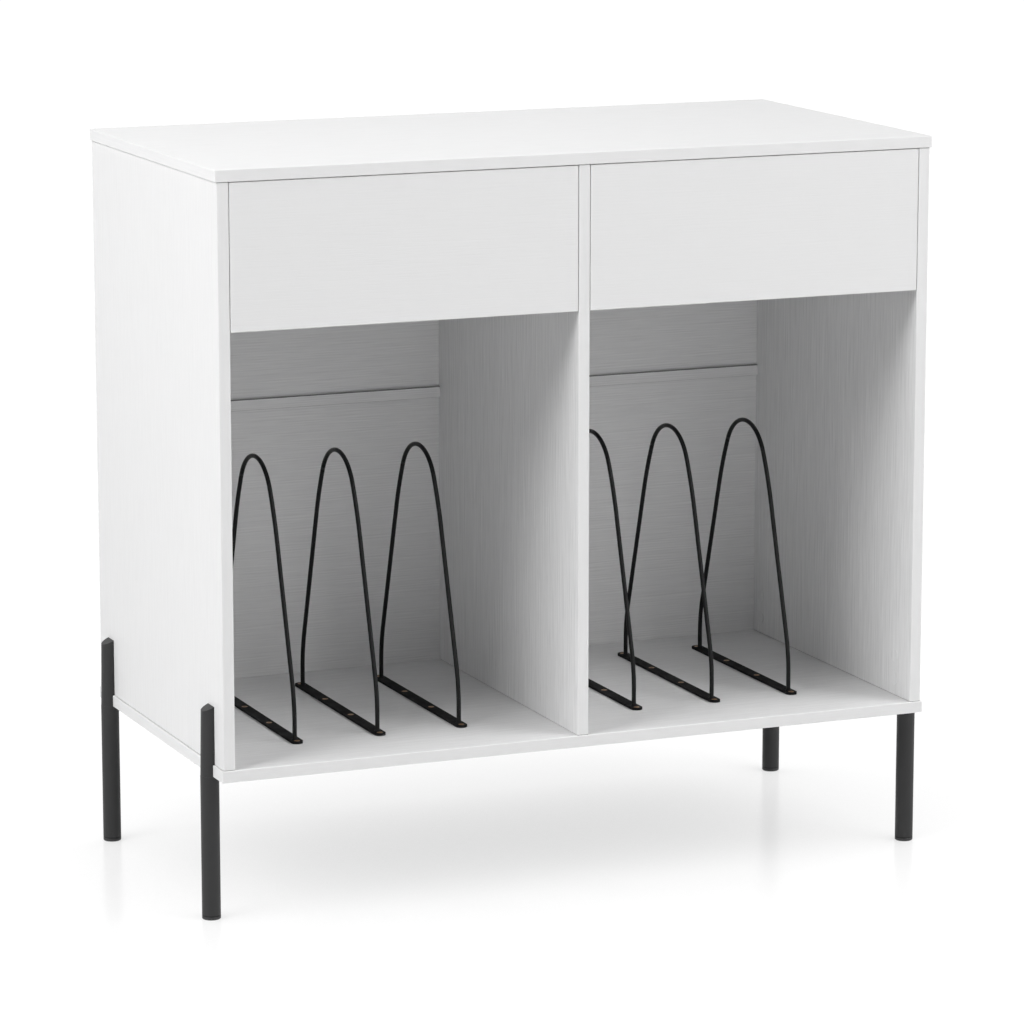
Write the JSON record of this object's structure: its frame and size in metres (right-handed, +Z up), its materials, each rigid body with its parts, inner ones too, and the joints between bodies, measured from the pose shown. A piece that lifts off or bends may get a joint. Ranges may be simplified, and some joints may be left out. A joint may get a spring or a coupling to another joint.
{
  "type": "record player stand",
  "caption": "White two-bay cabinet on black tube legs, with inset drawers over open bays and wire loop dividers for records.",
  "frame": {"origin": "centre of the bounding box on the floor", "axes": "+X to the right seen from the front, +Y to the back, +Z up"},
  "size_m": [0.8, 0.4, 0.758],
  "materials": {
    "white_laminate": "satin white laminate with an embossed wood grain",
    "black_powder_coat": "fine matte powder coat",
    "black_wire": "satin powder coat",
    "black_plastic": "moulded, matte",
    "bronze_screw": "dull bronze",
    "zinc_steel": "bright zinc",
    "beech": "bare beech"
  },
  "bodies": {
    "cabinet": {"top_panel": "white_laminate", "bottom_panel": "white_laminate", "left_side_panel": "white_laminate", "right_side_panel": "white_laminate", "centre_divider": "white_laminate", "left_upper_back_board": "white_laminate", "left_lower_back_board": "white_laminate", "right_upper_back_board": "white_laminate", "right_lower_back_board": "white_laminate", "left_back_rail": "white_laminate", "right_back_rail": "white_laminate", "front_left_leg": "black_powder_coat", "front_right_leg": "black_powder_coat", "rear_left_leg": "black_powder_coat", "rear_right_leg": "black_powder_coat", "front_left_foot_plug": "black_plastic", "front_right_foot_plug": "black_plastic", "rear_left_foot_plug": "black_plastic", "rear_right_foot_plug": "black_plastic", "record_divider_1": "black_wire", "record_divider_2": "black_wire", "record_divider_3": "black_wire", "record_divider_4": "black_wire", "record_divider_5": "black_wire", "record_divider_6": "black_wire", "divider_screws": "bronze_screw", "leg_bolts": "zinc_steel", "bolt_covers": "white_laminate", "cabinet_cam_fittings": "zinc_steel", "dowels": "beech", "base_screws": "zinc_steel", "slide_rail_screws": "zinc_steel", "left_drawer_left_rail": "zinc_steel", "left_drawer_right_rail": "zinc_steel", "right_drawer_left_rail": "zinc_steel", "right_drawer_right_rail": "zinc_steel"},
    "left_drawer": {"left_drawer_front": "white_laminate", "left_drawer_left_side": "white_laminate", "left_drawer_right_side": "white_laminate", "left_drawer_back": "white_laminate", "left_drawer_bottom": "white_laminate", "left_drawer_left_runner": "zinc_steel", "left_drawer_right_runner": "zinc_steel", "left_drawer_cam_fittings": "zinc_steel", "left_drawer_back_screws": "zinc_steel", "left_drawer_runner_screws": "zinc_steel"},
    "right_drawer": {"right_drawer_front": "white_laminate", "right_drawer_left_side": "white_laminate", "right_drawer_right_side": "white_laminate", "right_drawer_back": "white_laminate", "right_drawer_bottom": "white_laminate", "right_drawer_left_runner": "zinc_steel", "right_drawer_right_runner": "zinc_steel", "right_drawer_cam_fittings": "zinc_steel", "right_drawer_back_screws": "zinc_steel", "right_drawer_runner_screws": "zinc_steel"},
    "left_ball_cages": {"left_drawer_ball_cages": "zinc_steel"},
    "right_ball_cages": {"right_drawer_ball_cages": "zinc_steel"}
  },
  "joints": [
    {"name": "left_drawer_slide", "type": "slide", "parent": "cabinet", "child": "left_drawer", "axis": [0, -1, 0], "range_m": [0, 0.23]},
    {"name": "left_cage_roll", "type": "slide", "parent": "cabinet", "child": "left_ball_cages", "axis": [0, -1, 0], "range_m": [0, 0.116]},
    {"name": "right_drawer_slide", "type": "slide", "parent": "cabinet", "child": "right_drawer", "axis": [0, -1, 0], "range_m": [0, 0.23]},
    {"name": "right_cage_roll", "type": "slide", "parent": "cabinet", "child": "right_ball_cages", "axis": [0, -1, 0], "range_m": [0, 0.116]}
  ],
  "couplings": [
    {"joint": "left_cage_roll", "follows": "left_drawer_slide", "ratio": 0.5},
    {"joint": "right_cage_roll", "follows": "right_drawer_slide", "ratio": 0.5}
  ]
}
